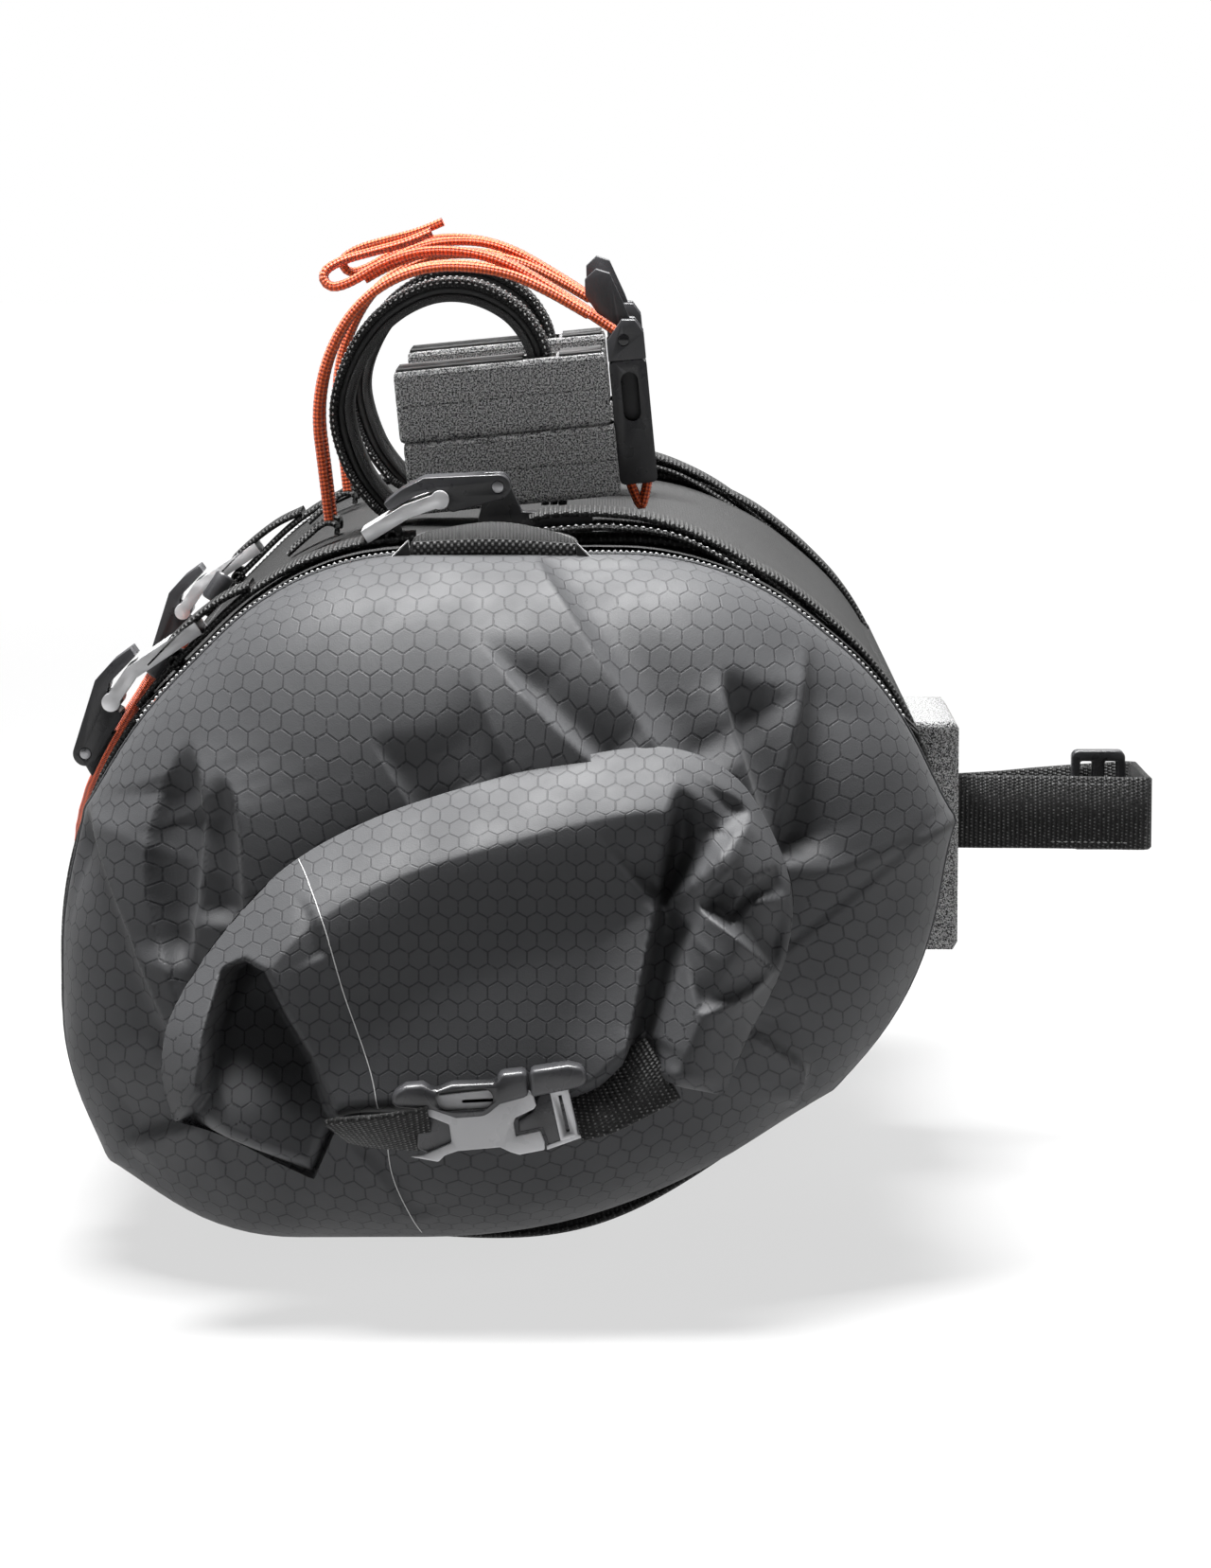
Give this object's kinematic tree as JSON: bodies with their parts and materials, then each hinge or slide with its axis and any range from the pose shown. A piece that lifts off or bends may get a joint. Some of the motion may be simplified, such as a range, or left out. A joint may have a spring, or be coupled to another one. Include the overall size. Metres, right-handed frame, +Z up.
{
  "type": "bikepacking roll bag",
  "caption": "Roll-closed waterproof bag for a bicycle bar or rail, with foam spacers, strap loops, cord tensioners, hook latches and a rear strap",
  "frame": {"origin": "middle of the seat that the bar lies on, on top of the foam and half way between the two mounts", "axes": "+Y along the bar and the bag's length, +Z up, +X towards the tube that the rear strap goes round"},
  "size_m": [0.292, 0.5038, 0.2573],
  "materials": {
    "coated_fabric": "hex ripstop, coated",
    "panel_fabric": "ribbed, coated",
    "inner_plastic": "matt",
    "foam": "speckled closed-cell foam",
    "fastening_webbing": "hook-and-loop, stitched edges",
    "webbing": "ribbed polyamide",
    "orange_cord": "braided",
    "orange_elastic": "braided elastic",
    "black_plastic": "fine moulded grain",
    "buckle_plastic": "satin moulded",
    "aluminium": "satin",
    "steel": "blackened"
  },
  "bodies": {
    "bag": {"bag_tube": "coated_fabric", "bag_end_near": "coated_fabric", "bag_end_far": "coated_fabric", "roll_near": "coated_fabric", "roll_far": "coated_fabric", "back_panel": "panel_fabric", "rim_sleeves": "panel_fabric", "inner_plate": "inner_plastic", "roll_stiffeners": "inner_plastic", "foam_upper_near": "foam", "foam_upper_far": "foam", "foam_lower_near": "foam", "foam_lower_far": "foam", "rear_pad": "foam", "bar_strap_near": "fastening_webbing", "bar_strap_far": "fastening_webbing", "compression_strap_near": "webbing", "compression_strap_far": "webbing", "closure_strap_left_near": "webbing", "closure_strap_left_far": "webbing", "closure_strap_right_near": "webbing", "closure_strap_right_far": "webbing", "hook_loops": "webbing", "rear_strap": "webbing", "rear_strap_tail": "webbing", "cord_anchors": "webbing", "tension_cord_near": "orange_cord", "tension_cord_far": "orange_cord", "tensioner_loops": "orange_cord", "front_bungee": "orange_elastic", "tensioner_female_near": "black_plastic", "tensioner_female_far": "black_plastic", "top_latch_base_near": "black_plastic", "top_latch_base_far": "black_plastic", "left_latch_base_near": "black_plastic", "left_latch_base_far": "black_plastic", "bungee_ends": "black_plastic", "closure_female_near": "buckle_plastic", "closure_female_far": "buckle_plastic", "latch_pins": "steel"},
    "closure_near": {"closure_male_near": "buckle_plastic"},
    "tensioner_near": {"tensioner_male_near": "black_plastic", "tensioner_pin_near": "steel", "cord_tails_near": "orange_cord"},
    "tensioner_lever_near": {"tensioner_lever_near": "black_plastic"},
    "top_lever_near": {"top_latch_lever_near": "black_plastic"},
    "top_hook_near": {"top_hook_near": "aluminium"},
    "left_lever_near": {"left_latch_lever_near": "black_plastic"},
    "left_hook_near": {"left_hook_near": "aluminium"},
    "closure_far": {"closure_male_far": "buckle_plastic"},
    "tensioner_far": {"tensioner_male_far": "black_plastic", "tensioner_pin_far": "steel", "cord_tails_far": "orange_cord"},
    "tensioner_lever_far": {"tensioner_lever_far": "black_plastic"},
    "top_lever_far": {"top_latch_lever_far": "black_plastic"},
    "top_hook_far": {"top_hook_far": "aluminium"},
    "left_lever_far": {"left_latch_lever_far": "black_plastic"},
    "left_hook_far": {"left_hook_far": "aluminium"},
    "ladder_lock": {"ladder_lock": "black_plastic"}
  },
  "joints": [
    {"name": "closure_slide_near", "type": "slide", "parent": "bag", "child": "closure_near", "axis": [0.9976, 0, 0.0698], "range_m": [0, 0.012], "deforming": ["closure_strap_right_near"]},
    {"name": "tensioner_slide_near", "type": "slide", "parent": "bag", "child": "tensioner_near", "axis": [-0.0958, 0, 0.9954], "range_m": [0, 0.016], "deforming": ["tension_cord_near"]},
    {"name": "tensioner_lever_hinge_near", "type": "hinge", "parent": "tensioner_near", "child": "tensioner_lever_near", "pos_m": [0.03291, -0.055, 0.00568], "axis": [0, 1, 0], "range_deg": [0, 65]},
    {"name": "top_lever_hinge_near", "type": "hinge", "parent": "bag", "child": "top_lever_near", "pos_m": [0.0009, -0.125, -0.0285], "axis": [0, 1, 0], "range_deg": [0, 90]},
    {"name": "top_hook_hinge_near", "type": "hinge", "parent": "top_lever_near", "child": "top_hook_near", "pos_m": [-0.0138, -0.125, -0.0316], "axis": [0, 1, 0], "range_deg": [-90, 0]},
    {"name": "left_lever_hinge_near", "type": "hinge", "parent": "bag", "child": "left_lever_near", "pos_m": [-0.1043, -0.125, -0.0964], "axis": [0, -1, 0], "range_deg": [0, 90]},
    {"name": "left_hook_hinge_near", "type": "hinge", "parent": "left_lever_near", "child": "left_hook_near", "pos_m": [-0.09745, -0.125, -0.08303], "axis": [0, -1, 0], "range_deg": [-90, 0]},
    {"name": "closure_slide_far", "type": "slide", "parent": "bag", "child": "closure_far", "axis": [0.9976, 0, 0.0698], "range_m": [0, 0.012], "deforming": ["closure_strap_right_far"]},
    {"name": "tensioner_slide_far", "type": "slide", "parent": "bag", "child": "tensioner_far", "axis": [-0.0958, 0, 0.9954], "range_m": [0, 0.016], "deforming": ["tension_cord_far"]},
    {"name": "tensioner_lever_hinge_far", "type": "hinge", "parent": "tensioner_far", "child": "tensioner_lever_far", "pos_m": [0.03291, 0.055, 0.00568], "axis": [0, 1, 0], "range_deg": [0, 65]},
    {"name": "top_lever_hinge_far", "type": "hinge", "parent": "bag", "child": "top_lever_far", "pos_m": [0.0009, 0.125, -0.0285], "axis": [0, 1, 0], "range_deg": [0, 90]},
    {"name": "top_hook_hinge_far", "type": "hinge", "parent": "top_lever_far", "child": "top_hook_far", "pos_m": [-0.0138, 0.125, -0.0316], "axis": [0, 1, 0], "range_deg": [-90, 0]},
    {"name": "left_lever_hinge_far", "type": "hinge", "parent": "bag", "child": "left_lever_far", "pos_m": [-0.1043, 0.125, -0.0964], "axis": [0, -1, 0], "range_deg": [0, 90]},
    {"name": "left_hook_hinge_far", "type": "hinge", "parent": "left_lever_far", "child": "left_hook_far", "pos_m": [-0.09745, 0.125, -0.08303], "axis": [0, -1, 0], "range_deg": [-90, 0]},
    {"name": "ladder_lock_tilt", "type": "hinge", "parent": "bag", "child": "ladder_lock", "pos_m": [0.173, 0.0185, -0.127], "axis": [0, 0, 1], "range_deg": [0, 28], "deforming": ["rear_strap_tail"]}
  ],
  "couplings": [
    {"joint": "top_hook_hinge_near", "follows": "top_lever_hinge_near", "ratio": -1},
    {"joint": "left_hook_hinge_near", "follows": "left_lever_hinge_near", "ratio": -1},
    {"joint": "top_hook_hinge_far", "follows": "top_lever_hinge_far", "ratio": -1},
    {"joint": "left_hook_hinge_far", "follows": "left_lever_hinge_far", "ratio": -1}
  ]
}
